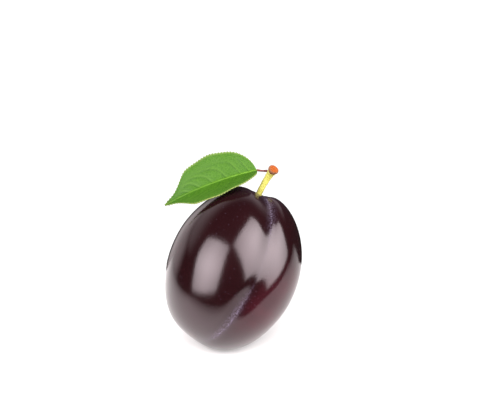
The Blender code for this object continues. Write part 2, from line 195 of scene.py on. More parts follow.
def closed_surface(name, rings, first, last):
    """A closed mesh from rings of points (rings, points round, 3), with one point closing each end.

    The points of a ring run anticlockwise, seen from the last ring, so that the faces point outwards.
    """
    count, around = rings.shape[:2]
    points = np.concatenate((rings.reshape(-1, 3), [first, last]))
    here = np.arange(around)
    beside = np.roll(here, -1)
    ring = np.arange(count - 1)[:, None] * around
    quads = np.stack((ring + here, ring + beside, ring + beside + around, ring + here + around), axis=-1)
    top = (count - 1) * around
    start = np.column_stack((np.full(around, count * around), beside, here))
    end = np.column_stack((np.full(around, count * around + 1), top + here, top + beside))
    mesh = bpy.data.meshes.new(name)
    mesh.from_pydata(points.tolist(), [], quads.reshape(-1, 4).tolist() + start.tolist() + end.tolist())
    return mesh


def sheet_surface(name, upper, lower):
    """A closed sheet from two grids of points (along, across, 3): its two faces and the rim between them."""
    along, across = upper.shape[:2]
    count = along * across
    points = np.concatenate((upper.reshape(-1, 3), lower.reshape(-1, 3)))
    index = np.arange(count).reshape(along, across)
    a, b, c, d = index[:-1, :-1], index[1:, :-1], index[1:, 1:], index[:-1, 1:]
    top = np.stack((a, b, c, d), axis=-1).reshape(-1, 4)
    under = np.stack((a, d, c, b), axis=-1).reshape(-1, 4) + count
    loop = np.concatenate((index[:-1, 0], index[-1, :-1], index[:0:-1, -1], index[0, :0:-1]))
    following = np.roll(loop, -1)
    rim = np.column_stack((loop, loop + count, following + count, following))
    mesh = bpy.data.meshes.new(name)
    mesh.from_pydata(points.tolist(), [], np.concatenate((top, under, rim)).tolist())
    return mesh


def point_values(mesh, name, values):
    """Stores one number for each point, or one vector, as an attribute that the materials read."""
    values = np.asarray(values, np.float32)
    if values.ndim > 1:
        mesh.attributes.new(name, "FLOAT_VECTOR", "POINT").data.foreach_set("vector", values.ravel())
    else:
        mesh.attributes.new(name, "FLOAT", "POINT").data.foreach_set("value", values)


def link_object(name, data):
    """Puts a mesh, a light or a camera into the scene."""
    item = bpy.data.objects.new(name, data)
    bpy.context.scene.collection.objects.link(item)
    return item


def add_piece(name, mesh, material, node):
    """Puts a finished mesh into an object at the origin that stands for its CAD node."""
    mesh.validate()
    mesh.shade_smooth()
    mesh.materials.append(material)
    piece = link_object(name, mesh)
    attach(piece, "root")
    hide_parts(node)


def add_node(tree, kind, inputs=None, **settings):
    """Adds one node with its settings, and its inputs as values or as other nodes' outputs."""
    node = tree.nodes.new(kind)
    for name, value in settings.items():
        setattr(node, name, value)
    for key, value in (inputs or {}).items():
        if isinstance(value, bpy.types.NodeSocket):
            tree.links.new(value, node.inputs[key])
        else:
            node.inputs[key].default_value = value
    return node


def new_material(name):
    """An empty material and its node tree."""
    material = bpy.data.materials.new(name)
    material.use_nodes = True
    tree = material.node_tree
    tree.nodes.clear()
    return material, tree


def read(tree, name, output="Fac"):
    """What point_values stored on the mesh under a name."""
    return add_node(tree, "ShaderNodeAttribute", attribute_name=name).outputs[output]


def calculate(tree, operation, *values, clamp=False):
    """The result of one operation on one or two numbers."""
    inputs = dict(enumerate(values))
    return add_node(tree, "ShaderNodeMath", inputs, operation=operation, use_clamp=clamp).outputs[0]


def remap(tree, value, start, end, low=0.0, high=1.0, rise="LINEAR"):
    """A rise from low where the value is start to high where it is end, and level beyond them."""
    inputs = {"Value": value, "From Min": start, "From Max": end, "To Min": low, "To Max": high}
    return add_node(tree, "ShaderNodeMapRange", inputs, interpolation_type=rise).outputs["Result"]


def ease(tree, value, *limits):
    """The same rise along a smooth cubic."""
    return remap(tree, value, *limits, rise="SMOOTHSTEP")


def mix_colours(tree, share, colour, other):
    """A colour where the share is 0 and the other where it is 1. Each is a node's output or three numbers."""
    ends = [end if isinstance(end, bpy.types.NodeSocket) else (*end, 1.0) for end in (colour, other)]
    inputs = {"Factor": share, "A": ends[0], "B": ends[1]}
    return add_node(tree, "ShaderNodeMix", inputs, data_type="RGBA").outputs[2]


def noise(tree, place, scale, detail, roughness=0.5):
    """Cloudy noise from 0 to 1, whose clouds are about 1 / scale metres across."""
    inputs = {"Vector": place, "Scale": scale, "Detail": detail, "Roughness": roughness}
    return add_node(tree, "ShaderNodeTexNoise", inputs).outputs["Fac"]


def cells(tree, place, scale, randomness=1.0, feature="F1"):
    """The distance from scattered points, or from the borders between them, about 1 / scale metres apart."""
    inputs = {"Vector": place, "Scale": scale, "Randomness": randomness}
    return add_node(tree, "ShaderNodeTexVoronoi", inputs, feature=feature).outputs["Distance"]


def fibrous(tree, grain, across, along, detail, roughness):
    """Noise drawn out into fibres, about 1 / across metres wide and 1 / along metres long."""
    inputs = {"Vector": grain, "Scale": (across, across, along)}
    stretched = add_node(tree, "ShaderNodeMapping", inputs).outputs["Vector"]
    return noise(tree, stretched, 1.0, detail, roughness)


def relief(tree, height, strength, depth):
    """The surface's direction over low bumps of a height from 0 to 1, of this depth in metres."""
    inputs = {"Height": height, "Strength": strength, "Distance": depth}
    return add_node(tree, "ShaderNodeBump", inputs).outputs["Normal"]


def cover(tree, inputs):
    """Gives the material a surface with these inputs."""
    shader = add_node(tree, "ShaderNodeBsdfPrincipled", inputs)
    add_node(tree, "ShaderNodeOutputMaterial", {"Surface": shader.outputs[0]})


def own_direction(turn, angle):
    """The unit direction at a turn about the long axis and an angle from its stalk end, in degrees."""
    turn, angle = math.radians(turn), math.radians(angle)
    out = math.sin(angle)
    return np.array((out * math.cos(turn), out * math.sin(turn), math.cos(angle)))


# Directions in the fruit's own frame: to its two ends, the middle of its seam and the tops of its low rises
STALK_DIRECTION = own_direction(180.0, 3.9)
BLOSSOM_DIRECTION = own_direction(180.0, 172.8)
SEAM_DIRECTION = own_direction(-60.0, 90.0)
BELLY_DIRECTION = own_direction(56.0, 118.0)
LEFT_CHEEK_DIRECTION = own_direction(-132.3, 80.3)
RIGHT_CHEEK_DIRECTION = own_direction(-49.7, 81.4)
CROWN_DIRECTION = own_direction(180.0, 20.0)
# The scar lies across the blossom end: its middle and the line that it runs along
SCAR_DIRECTION = unit((-0.16, -0.25, -0.955))
SCAR_LINE = unit((0.98, -0.18, -0.07))
SEAM_NORMAL = unit(np.cross(STALK_DIRECTION - BLOSSOM_DIRECTION, SEAM_DIRECTION))
# Where the skin is redder
WARM_DIRECTION = unit((0.9, -0.3, -0.3))

# Sizes that the fruit's settings leave out. An angle is the half width of a Gaussian, at the fruit's centre.
CAVITY_ANGLE = math.radians(9.6)
BLOSSOM_DENT = 1.7 * MM
BLOSSOM_ANGLE = math.radians(19.0)
BELLY_RISE = 1.5 * MM
BELLY_ANGLE = math.radians(32.0)
LEFT_CHEEK_ANGLE = math.radians(36.4)
RIGHT_CHEEK_ANGLE = math.radians(45.0)
RIGHT_CHEEK_START = 6.6 * MM
CROWN_ANGLE = math.radians(14.0)
# The whole skin is drawn in by this, so that its waves and puckers stay inside the solid
SKIN_INSET = 0.1 * MM


def angle_from(directions, axis):
    return np.arccos(np.clip(directions @ axis, -1.0, 1.0))


def bell(value, width):
    """A Gaussian, 1 at 0 and 1 / e at one width."""
    return np.exp(-((value / width) ** 2))


def fruit_directions(rings, sectors):
    """Unit directions on a grid of polar angle from the stalk and turn from the seam.

    The polar angle is pi (s - 0.08 sin 2 pi s), closer together at both ends, and the turn t - 0.55 sin t,
    closer together at the seam. Rings run from the blossom end to the stalk.
    """
    toward_seam = unit(SEAM_DIRECTION - (SEAM_DIRECTION @ STALK_DIRECTION) * STALK_DIRECTION)
    sideways = np.cross(STALK_DIRECTION, toward_seam)
    share = 1.0 - np.arange(1, rings) / rings
    polar = math.pi * (share - 0.08 * np.sin(2.0 * math.pi * share))
    turn = 2.0 * math.pi * np.arange(sectors) / sectors
    turn = turn - 0.55 * np.sin(turn)
    ring = np.outer(np.cos(turn), toward_seam) + np.outer(np.sin(turn), sideways)
    return np.sin(polar)[:, None, None] * ring + np.cos(polar)[:, None, None] * STALK_DIRECTION


def fruit_skin(settings, directions):
    """Skin points along unit directions, with their distance from the seam's plane, 1 on its side of the
    fruit and 0 behind, and their height.

    The distance from the centre is that of an ellipsoid, 1 / sqrt((x2 + y2) / width2 + z2 / length2), less a
    Gaussian dent round the stalk and one at the blossom end, plus Gaussian rises at the belly, the left cheek
    and the crown, and a few very low waves. The right cheek's rise starts at the seam, as
    1 - exp(-(off / start)2). The seam groove is a Gaussian of the distance from the plane through both dents,
    with a width of its own on each side. It is deep by the stalk, shallow at mid height and deeper again low
    down. Puckers, sin(11 turn), run into the cavity.
    """
    across = directions[..., 0] ** 2 + directions[..., 1] ** 2
    along = directions[..., 2] ** 2
    distance = 1.0 / np.sqrt(across / settings.half_width**2 + along / settings.half_length**2)
    from_stalk = angle_from(directions, STALK_DIRECTION)
    from_blossom = angle_from(directions, BLOSSOM_DIRECTION)
    distance = distance - settings.cavity_depth * bell(from_stalk, CAVITY_ANGLE)
    distance = distance - BLOSSOM_DENT * bell(from_blossom, BLOSSOM_ANGLE)
    distance = distance + BELLY_RISE * bell(angle_from(directions, BELLY_DIRECTION), BELLY_ANGLE)
    points = distance[..., None] * directions

    off_seam = (points - settings.half_length * STALK_DIRECTION) @ SEAM_NORMAL
    height = points[..., 2] / settings.half_length
    on_left = off_seam < 0.0
    high = smoothstep(0.49, 0.77, height)
    width = np.where(on_left, 3.6 + 1.4 * high, 3.2 - 0.9 * high) * MM
    depth = settings.seam_depth + settings.seam_depth_top * bell(1.0 - height, 0.56)
    depth = depth + settings.seam_depth_low * bell(height + 0.33, 0.25)
    on_front = smoothstep(0.0, 0.35, points @ SEAM_DIRECTION / settings.half_width)
    groove = depth * on_front * bell(off_seam, width)

    left = settings.left_cheek * bell(angle_from(directions, LEFT_CHEEK_DIRECTION), LEFT_CHEEK_ANGLE)
    right = settings.right_cheek * bell(angle_from(directions, RIGHT_CHEEK_DIRECTION), RIGHT_CHEEK_ANGLE)
    on_right = np.where(on_left, 0.0, 1.0 - bell(off_seam, RIGHT_CHEEK_START))
    crown = settings.crown * bell(angle_from(directions, CROWN_DIRECTION), CROWN_ANGLE)
    distance = distance + left + crown + on_right * right - groove

    turn = np.arctan2(directions[..., 1], directions[..., 0])
    puckers = 0.07 * MM * np.sin(11.0 * turn) * bell(from_stalk - 0.19, 0.09)
    waves = 0.03 * MM * np.sin(7.0 * directions[..., 0] + 5.0 * directions[..., 2] + 1.0)
    waves = waves + 0.03 * MM * np.sin(6.0 * directions[..., 1] - 8.0 * directions[..., 2])
    distance = distance + puckers + waves - SKIN_INSET
    return distance[..., None] * directions, off_seam, on_front, height


def fruit_points(points):
    """Places points of the fruit's own frame in the scene, flattened where they would go below the floor.

    The height is (z + sqrt(z2 + k2)) / 2, which is z well above the floor and 0 below it.
    """
    placed = points @ FROM_FRUIT.T + FRUIT_CENTRE
    z = placed[..., 2]
    placed[..., 2] = 0.5 * (z + np.sqrt(z * z + (0.3 * MM) ** 2))
    return placed


def skin_material(settings):
    """Ripe plum skin: smooth and tight over dark flesh, under a thin waxy bloom.

    To the eye it is glossy and almost black maroon, redder on its right side. The bloom is a broken violet
    line along the seam and a faint haze in the cavity. Pale lenticels (pores) and red flecks break up the
    dark, and a dry brown scar crosses the blossom end.
    """
    material, tree = new_material("waxy_plum_skin")
    place = add_node(tree, "ShaderNodeTexCoord").outputs["Object"]
    # Patches of ripeness about 9 mm across
    patches = noise(tree, place, 110.0, 3.0, 0.55)
    # Red flecks of 0.5 mm, drawn twice their real size so that they show
    flecks = noise(tree, place, 1900.0, 2.0, 0.6)
    # Lenticels 1.7 mm apart and 0.3 mm across
    pores = cells(tree, place, 600.0)

    redder = remap(tree, patches, 0.25, 0.75, 0.1, 0.5)
    fleck = remap(tree, flecks, 0.3, 0.8, 0.0, 0.25)
    warmth = calculate(tree, "ADD", redder, fleck)
    warmth = calculate(tree, "MULTIPLY", warmth, read(tree, "warm"))
    skin = mix_colours(tree, warmth, settings.skin, settings.blush)

    pore = remap(tree, pores, 0.06, 0.14, 0.05, 0.0)
    patchy = remap(tree, patches, 0.3, 0.7, 0.7, 1.2)
    wiped = calculate(tree, "MULTIPLY", read(tree, "haze"), patchy)
    broken = remap(tree, flecks, 0.38, 0.62, 0.1, 1.7)
    line = calculate(tree, "MULTIPLY", read(tree, "seam_bloom"), broken)
    bloom = calculate(tree, "ADD", wiped, line)
    bloom = calculate(tree, "ADD", bloom, pore, clamp=True)
    colour = mix_colours(tree, bloom, skin, settings.bloom)
    cover(tree, {
        "Base Color": mix_colours(tree, read(tree, "scar"), colour, settings.scar),
        "Roughness": remap(tree, bloom, 0.0, 0.25, 0.13, 0.42),
        "IOR": 1.52,
        "Specular Tint": (1.0, 0.85, 0.9, 1.0),
        "Normal": relief(tree, flecks, 0.3, 0.06 * MM),
    })
    return material


class PLUM_OT_fruit(bpy.types.Operator):
    """Builds the fruit with its seam, cavity, dimple and flat spot"""

    bl_idname = "plum.fruit"
    bl_label = "Fruit"

    def execute(self, context):
        """The bloom along the seam is a fine line in a wider band, each a Gaussian of the distance from it.
        The haze, the warmth and the scar are Gaussians or smooth rises round a direction."""
        settings = context.scene.plum_fruit
        grid = fruit_directions(220, 340)
        ends = np.stack((-STALK_DIRECTION, STALK_DIRECTION))
        directions = np.concatenate((grid.reshape(-1, 3), ends))
        points, off_seam, on_front, height = fruit_skin(settings, directions)
        placed = fruit_points(points)
        rings = placed[:-2].reshape(grid.shape)
        mesh = closed_surface("fruit_skin", rings, placed[-2], placed[-1])

        low = smoothstep(-0.02, -0.45, height) * smoothstep(-0.98, -0.75, height)
        high = smoothstep(0.35, 0.85, height)
        line = (0.02 + 0.03 * low + 0.05 * high) * bell(off_seam, 0.4 * MM)
        low_band = 0.085 * low * bell(off_seam + 0.5 * MM, 1.4 * MM)
        high_band = 0.07 * high * bell(off_seam, 1.6 * MM)
        point_values(mesh, "seam_bloom", on_front * (line + low_band + high_band))
        point_values(mesh, "haze", 0.06 * bell(angle_from(directions, STALK_DIRECTION), 0.3))
        point_values(mesh, "warm", 0.1 + 0.9 * smoothstep(0.6, 0.97, directions @ WARM_DIRECTION))
        along_scar = (directions - SCAR_DIRECTION) @ SCAR_LINE
        across_scar = (directions - SCAR_DIRECTION) @ np.cross(SCAR_DIRECTION, SCAR_LINE)
        point_values(mesh, "scar", 0.7 * bell(along_scar, 0.05) * bell(across_scar, 0.025))
        add_piece("fruit_skin", mesh, skin_material(settings), "fruit")
        return {"FINISHED"}


def bezier(points, t):
    """The cubic curve of four control points at each t from 0 to 1, and its unit direction there."""
    p0, p1, p2, p3 = (np.asarray(p, float) for p in points)
    t = np.asarray(t, float)[:, None]
    s = 1.0 - t
    place = s**3 * p0 + 3.0 * s * s * t * p1 + 3.0 * s * t * t * p2 + t**3 * p3
    direction = s * s * (p1 - p0) + 2.0 * s * t * (p2 - p1) + t * t * (p3 - p2)
    return place, unit(direction)


def tube(path, direction, radius, turn):
    """Rings of points round a path: centre + radius (side cos t + up sin t).

    side and up are square to the path and radius is a grid of (points along, points round).
    """
    side = unit(np.cross(direction, (0.0, -1.0, 0.0)))
    up = np.cross(direction, side)
    ring = side[:, None] * np.cos(turn)[None, :, None] + up[:, None] * np.sin(turn)[None, :, None]
    return path[:, None] + radius[..., None] * ring


STALK_FOOT = np.array((8.6, 0.9, 24.65)) * MM
STALK_FOOT_PULL = np.array((1.3, -0.1, 3.6)) * MM
STALK_TOP = np.array((14.2, -1.8, 34.6)) * MM
STALK_TOP_PULL = np.array((-1.3, 2.1, -1.55)) * MM
STALK_CURVE = (STALK_FOOT, STALK_FOOT + STALK_FOOT_PULL, STALK_TOP + STALK_TOP_PULL, STALK_TOP)


def from_tipped(points):
    """Places points of the tipped frame in the scene."""
    return points @ FROM_TIPPED.T + FRUIT_CENTRE


def rod(name, path, direction, radius, turn, grain_radius, length):
    """A closed rod whose points carry their share of the way along it and their grain.

    The grain is their place on the rod if it were straight, so that fibres follow its bends.
    """
    ends = from_tipped(path[[0, -1]])
    mesh = closed_surface(name, from_tipped(tube(path, direction, radius, turn)), ends[0], ends[1])
    share = np.linspace(0.0, 1.0, len(path))
    around = np.stack((np.cos(turn), np.sin(turn)), axis=-1) * grain_radius
    grain = np.empty((len(path), len(turn), 3))
    grain[..., :2] = around
    grain[..., 2] = (share * length)[:, None]
    middles = [(0.0, 0.0, 0.0), (0.0, 0.0, length)]
    point_values(mesh, "grain", np.concatenate((grain.reshape(-1, 3), middles)))
    point_values(mesh, "share", np.concatenate((np.repeat(share, len(turn)), [0.0, 1.0])))
    return mesh


def stalk_material(settings):
    """Living plum stalk: a smooth green bark, yellowed as the fruit ripened, over straight fibres.

    To the eye it is a satin pale yellow with faint lengthwise streaks, greener at its foot, with a few brown
    specks.
    """
    material, tree = new_material("satin_yellow_stalk")
    grain = read(tree, "grain", "Vector")
    # Fibres 0.3 mm wide and about 6 mm long
    fibres = fibrous(tree, grain, 3200.0, 170.0, 3.0, 0.6)
    # Bark specks 1.1 mm apart
    specks = cells(tree, grain, 900.0)
    green = ease(tree, read(tree, "share"), 0.15, 0.5, 0.8, 0.0)
    streak = remap(tree, fibres, 0.35, 0.7, -0.03, 0.1)
    mixed = calculate(tree, "ADD", green, streak, clamp=True)
    colour = mix_colours(tree, mixed, settings.stalk, settings.foot)
    speck = remap(tree, specks, 0.06, 0.16, 0.08, 0.0)
    cover(tree, {
        "Base Color": mix_colours(tree, speck, colour, linear("#8A6A38")),
        "Roughness": 0.48,
        "IOR": 1.45,
        "Normal": relief(tree, fibres, 0.06, 0.1 * MM),
    })
    return material


class PLUM_OT_stalk(bpy.types.Operator):
    """Builds the fruit's bent stalk, which widens towards its cut end"""

    bl_idname = "plum.stalk"
    bl_label = "Stalk"

    def execute(self, context):
        """The rod follows the stalk's curve. Its radius has low ribs, sin(5 t) and sin(3 t), and swells."""
        settings = context.scene.plum_stalk
        share = np.linspace(0.0, 1.0, 120)
        turn = 2.0 * math.pi * np.arange(64) / 64
        path, direction = bezier(STALK_CURVE, share)
        widen = 0.35 * share + 0.65 * smoothstep(0.6, 1.0, share)
        radius = settings.radius + (settings.top_radius - settings.radius) * widen
        ribs = 0.03 * np.sin(5.0 * turn + 0.6) + 0.02 * np.sin(3.0 * turn + 2.0)
        swells = 0.02 * np.sin(13.0 * share) - 0.02 * np.sin(29.0 * share + 1.0)
        grid = radius[:, None] * (1.0 + ribs[None] * (1.0 - 0.5 * share[:, None]) + swells[:, None])
        length = float(np.linalg.norm(np.diff(path, axis=0), axis=1).sum())
        mesh = rod("stalk_rod", path, direction, grid, turn, settings.radius, length)
        add_piece("stalk_rod", mesh, stalk_material(settings), "stalk")
        return {"FINISHED"}


def cork_material(settings):
    """Fresh cork layer, where the stalk let go of the twig: dry, rough and open pored.

    To the eye it is matt orange with a browner rim and darker grains and pits.
    """
    material, tree = new_material("matt_orange_cork")
    place = add_node(tree, "ShaderNodeTexCoord").outputs["Object"]
    # Grains of 0.25 mm
    grains = noise(tree, place, 4000.0, 3.0, 0.65)
    # Pores 0.5 mm apart
    pits = cells(tree, place, 2000.0)
    edge = mix_colours(tree, read(tree, "rim"), settings.cork, settings.rim)
    shade = remap(tree, grains, 0.3, 0.7, 0.55, 0.0)
    mottled = mix_colours(tree, shade, edge, linear("#74300E"))
    pit = remap(tree, pits, 0.1, 0.35, 0.5, 0.0)
    cover(tree, {
        "Base Color": mix_colours(tree, pit, mottled, linear("#542008")),
        "Roughness": 0.8,
        "IOR": 1.45,
        "Specular IOR Level": 0.3,
        "Normal": relief(tree, grains, 0.8, 0.15 * MM),
    })
    return material


class PLUM_OT_cut_end(bpy.types.Operator):
    """Builds the flared orange end of the stalk, where it parted from the twig"""

    bl_idname = "plum.cut_end"
    bl_label = "Cut end"

    def execute(self, context):
        """A profile turned round the stalk's last direction: a neck that flares out in a quarter circle, a
        round rim and a dished, lumpy face. The rim's radius wanders by sin(2 t), sin(3 t) and sin(7 t)."""
        settings = context.scene.plum_cut_end
        out = unit(-STALK_TOP_PULL)
        neck = 1.5 * MM
        thickness = settings.thickness
        rim = settings.radius - neck
        sweep = np.linspace(0.0, 0.5 * math.pi, 14)
        flare_radius = neck + rim * np.sin(sweep)
        flare_height = 0.5 * thickness * (1.0 - np.cos(sweep))
        round_radius = settings.radius - 0.5 * rim * (1.0 - np.cos(sweep[1:]))
        round_height = 0.5 * thickness * (1.0 + np.sin(sweep[1:]))
        face = np.linspace(0.95, 0.06, 22)
        face_radius = face * round_radius[-1]
        face_height = thickness - 0.24 * MM * (1.0 - face**2)
        radius = np.concatenate(([neck * 0.96], flare_radius, round_radius, face_radius))
        height = np.concatenate(([-0.46 * MM], flare_height, round_height, face_height))
        turn = 2.0 * math.pi * np.arange(72) / 72
        wander = 0.035 * np.sin(2.0 * turn + 0.5) + 0.025 * np.sin(3.0 * turn)
        wander = wander + 0.012 * np.sin(7.0 * turn + 1.0)
        outer = smoothstep(neck, settings.radius, radius)[:, None]
        grid = radius[:, None] * (0.965 + wander[None] * outer)
        lumps = 0.05 * MM * np.sin(5.0 * turn + 1.0)[None] * np.sin(9.0 * radius[:, None] / MM)
        on_face = smoothstep(0.5 * thickness, thickness * 0.9, height)[:, None]
        side = unit(np.cross(out, (0.0, -1.0, 0.0)))
        up = np.cross(out, side)
        base = STALK_TOP + 0.42 * MM * out
        flat = side * np.cos(turn)[:, None] + up * np.sin(turn)[:, None]
        axial = height[:, None] - 0.04 * MM * on_face + lumps * on_face
        rings = base + grid[..., None] * flat[None] + axial[..., None] * out
        first = base - 0.46 * MM * out
        last = base + (height[-1] - 0.04 * MM) * out
        mesh = closed_surface("cut_end_cork", from_tipped(rings), from_tipped(first), from_tipped(last))
        on_rim = bell(radius - settings.radius, 0.42 * MM)
        point_values(mesh, "rim", np.concatenate((np.repeat(on_rim, len(turn)), [0.0, 0.0])))
        add_piece("cut_end_cork", mesh, cork_material(settings), "stalk_cut_end")
        return {"FINISHED"}


def leaf_stalk_material(settings):
    """Plum leaf stalk: smooth living skin, coloured red on its sunny side.

    To the eye it is a satin brick red thread with darker streaks, a little greener towards the leaf.
    """
    material, tree = new_material("satin_red_leaf_stalk")
    # Streaks 0.17 mm wide and 1.4 mm long
    streaks = fibrous(tree, read(tree, "grain", "Vector"), 6000.0, 700.0, 2.0, 0.5)
    dark = remap(tree, streaks, 0.35, 0.7, 0.0, 0.4)
    red = mix_colours(tree, dark, settings.red, linear("#34090E"))
    green = remap(tree, read(tree, "share"), 0.8, 1.0, 0.0, 0.6)
    cover(tree, {
        "Base Color": mix_colours(tree, green, red, linear("#5C5A1E")),
        "Roughness": 0.45,
        "IOR": 1.45,
        "Normal": relief(tree, streaks, 0.4, 0.05 * MM),
    })
    return material


class PLUM_OT_leaf_stalk(bpy.types.Operator):
    """Builds the thin red stalk that carries the leaf"""

    bl_idname = "plum.leaf_stalk"
    bl_label = "Leaf stalk"

    def execute(self, context):
        """A sagging rod, 4 s (1 - s) low, a little thicker at both ends and with a shallow channel on top."""
        settings = context.scene.plum_leaf_stalk
        start = np.array((11.9, -1.1, 35.0)) * MM
        end = np.array((9.35, -1.25, 35.2)) * MM
        reach = unit(end - start)
        start = start - 0.75 * MM * reach
        end = end + 0.6 * MM * reach
        share = np.linspace(0.0, 1.0, 48)
        turn = 2.0 * math.pi * np.arange(28) / 28
        path = start + share[:, None] * (end - start)
        path[:, 2] -= 0.15 * MM * 4.0 * share * (1.0 - share)
        direction = unit(np.gradient(path, axis=0))
        radius = settings.radius * (0.9 + 0.1 * np.cos(2.0 * math.pi * share))
        channel = 0.06 * np.exp(-(((turn - math.pi) / 0.5) ** 2))
        grid = radius[:, None] * (1.0 - channel[None])
        length = float(np.linalg.norm(end - start))
        mesh = rod("leaf_stalk_rod", path, direction, grid, turn, settings.radius, length)
        add_piece("leaf_stalk_rod", mesh, leaf_stalk_material(settings), "leaf_stalk")
        return {"FINISHED"}


# Where the side veins leave the midrib, as shares of the leaf's length, on its far half and its near half
FAR_VEINS = (0.07, 0.165, 0.31, 0.46, 0.6, 0.72, 0.83)
NEAR_VEINS = (0.1, 0.23, 0.37, 0.5, 0.63, 0.76, 0.87)


def leaf_half_width(settings, u):
    """Half width at share u of the length: u^0.45 at the base, (1 - u)^0.75 and a narrowed tip beyond."""
    body = (u / 0.4) ** 0.45 * ((1.0 - u) / 0.6) ** 0.75
    tip = 1.0 - 0.6 * smoothstep(0.68, 0.93, u)
    return np.maximum(settings.half_width * body * tip, 0.35 * MM)


def leaf_surface(settings, u, b):
    """The blade's middle surface at share u along the midrib and distance b across it.

    The midrib is an arch, 4 u (1 - u) high. Across it the blade is a hyperbola, sqrt(b2 + r2) - r, between
    its two straight halves, turned by the twist and waved towards the margin.
    """
    fold = math.radians(27.0) - math.radians(10.0) * u
    crease = 0.9 * MM
    rise = np.sin(fold) * (np.sqrt(b * b + crease**2) - crease)
    outward = np.abs(b) / settings.half_width
    rise = rise + 0.2 * MM * outward**2 * np.sin(7.0 * math.pi * u + 1.3 * np.sign(b))
    sideways = np.cos(fold) * b
    twist = math.radians(-14.0) * (u - 0.5)
    return np.stack(
        (
            settings.length * u,
            sideways * np.cos(twist) - rise * np.sin(twist),
            sideways * np.sin(twist) + rise * np.cos(twist) + 1.9 * MM * 4.0 * u * (1.0 - u),
        ),
        axis=-1,
    )


def leaf_normal(settings, u, b):
    """The middle surface's unit normal, from small steps along it and across it."""
    step = 0.002
    aside = step * settings.half_width
    along = leaf_surface(settings, u + step, b) - leaf_surface(settings, u - step, b)
    across = leaf_surface(settings, u, b + aside) - leaf_surface(settings, u, b - aside)
    return unit(np.cross(along, across))


def side_veins(settings, u, b):
    """Painted light lines beside the side veins, painted shade lines in them, and how far the blade bulges
    between them.

    A vein is a line u - (0.06 + 0.2 u) v - c v5 = start. v is the distance out as a share of the half width
    there and c rises from 0 at the base to 1.5, so that the vein leaves the midrib steeply and arches, more
    towards the tip, until it runs along the margin. The distance from it is that difference over its slope.
    The lines, and the valleys between the bulges, are Gaussians of that distance. All fade near the margin.
    """
    half_width = leaf_half_width(settings, np.clip(u, 0.0, 1.0))
    v = np.abs(b) / half_width
    lean = 0.06 + 0.2 * u
    arch = 1.5 * smoothstep(0.15, 0.6, u)
    line = u - lean * v - arch * v**5
    slope = np.hypot(1.0 / settings.length, (lean + 5.0 * arch * v**4) / half_width)
    pale = np.zeros_like(u)
    dark = np.zeros_like(u)
    valley = np.zeros_like(u)
    # The pale line is painted light on one side of each vein and the dark line is painted shade in the vein
    for starts, half, strength in ((FAR_VEINS, b < 0.0, 1.0), (NEAR_VEINS, b >= 0.0, 0.6)):
        away = (line[..., None] - np.array(starts)) / slope[..., None]
        pale = pale + strength * half * bell(away + 0.34 * MM, 0.3 * MM).sum(axis=-1)
        dark = dark + strength * half * bell(away - 0.1 * MM, 0.26 * MM).sum(axis=-1)
        valley = valley + half * bell(away, 1.0 * MM).sum(axis=-1)
    fade = smoothstep(0.9, 0.5, v) * smoothstep(0.95, 0.7, u)
    bulge = (1.0 - np.clip(valley, 0.0, 1.0) * smoothstep(0.95, 0.5, v)) * smoothstep(1.0, 0.8, v)
    return np.clip(pale, 0.0, 1.0) * fade, np.clip(dark, 0.0, 1.0) * fade, bulge


def leaf_material(settings):
    """Plum leaf: a thin living blade with a waxy upper face, pale net veins and a finely toothed edge.

    To the eye it is a fresh satin green, yellower on the midrib and the very edge. Painted light makes it
    lighter on its far half and where it bulges between the veins, and a painted light line runs beside each
    side vein with painted shade in it. A net of veins 0.9 mm across, drawn a little coarser than real, gives
    a fine leathery bump.
    """
    material, tree = new_material("satin_plum_leaf")
    blade = read(tree, "blade_place", "Vector")
    # Net of small veins, cells 0.9 mm across
    net = cells(tree, blade, 1100.0, 0.9, "DISTANCE_TO_EDGE")
    # Slow shifts of green about 5 mm across
    shifts = noise(tree, blade, 200.0, 4.0, 0.6)
    light = remap(tree, shifts, 0.3, 0.7, -0.15, 0.15)
    # Painted light: the far half and the bulges between the veins are painted a lighter green
    level = calculate(tree, "ADD", read(tree, "painted_light_share"), light, clamp=True)
    green = mix_colours(tree, level, settings.green, settings.painted_lit_green)
    ripe = mix_colours(tree, read(tree, "yellow"), green, settings.tip)
    # Painted shade in the side veins and a painted light line beside each, together with the real pale net
    # and midrib
    shade = calculate(tree, "MULTIPLY", read(tree, "painted_vein_shade"), 0.5)
    painted_vein_shaded = mix_colours(tree, shade, ripe, linear("#1E3C0A"))
    thread = remap(tree, net, 0.0, 0.12, 0.12, 0.0)
    pale = calculate(tree, "MULTIPLY", read(tree, "painted_vein_light"), 0.2)
    pale = calculate(tree, "MAXIMUM", pale, thread)
    pale = calculate(tree, "MAXIMUM", pale, read(tree, "midrib"))
    ribbed = mix_colours(tree, pale, painted_vein_shaded, settings.vein)
    cover(tree, {
        "Base Color": mix_colours(tree, read(tree, "edge"), ribbed, settings.edge),
        "Roughness": 0.48,
        "IOR": 1.45,
        "Specular IOR Level": 0.2,
        "Normal": relief(tree, remap(tree, net, 0.0, 0.3), 0.5, 0.06 * MM),
    })
    return material


